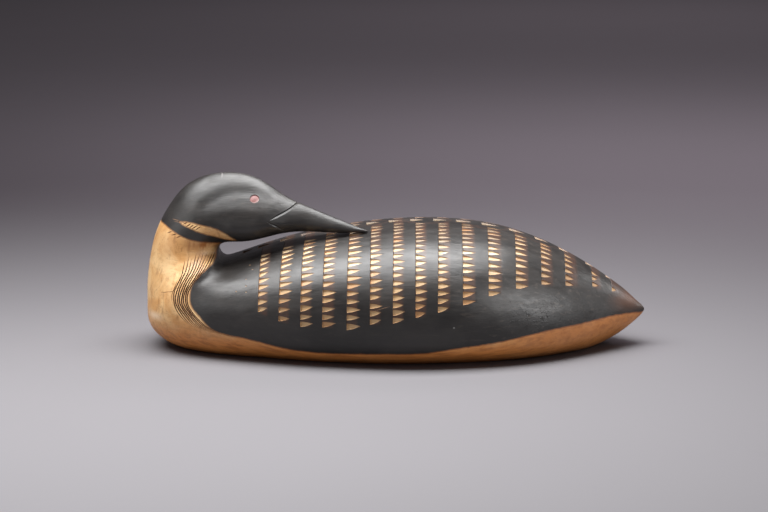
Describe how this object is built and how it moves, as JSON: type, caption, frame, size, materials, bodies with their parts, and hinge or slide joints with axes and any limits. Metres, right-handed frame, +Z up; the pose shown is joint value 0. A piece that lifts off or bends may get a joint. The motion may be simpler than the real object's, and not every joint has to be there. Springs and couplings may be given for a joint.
{
  "type": "loon decoy",
  "caption": "Carved wooden loon decoy with a flat underside, its head laid back on the body, painted black with chip-carved notches.",
  "frame": {"origin": "centre of the planed underside's level, below the middle of the whole bird", "axes": "+X from the breast towards the tail, +Y towards the side away from the bill, +Z up"},
  "size_m": [0.58, 0.2514, 0.2049],
  "materials": {
    "painted_wood": "worn black paint with a soft sheen over wood, bare golden wood on the breast, the belly and the cuts",
    "bare_wood": "aged bare wood, oiled by handling, with a fine grain and a satin surface",
    "eye_paint": "faded red paint in a shallow carved eye"
  },
  "bodies": {
    "root": {"loon_decoy": "painted_wood"}
  },
  "joints": []
}
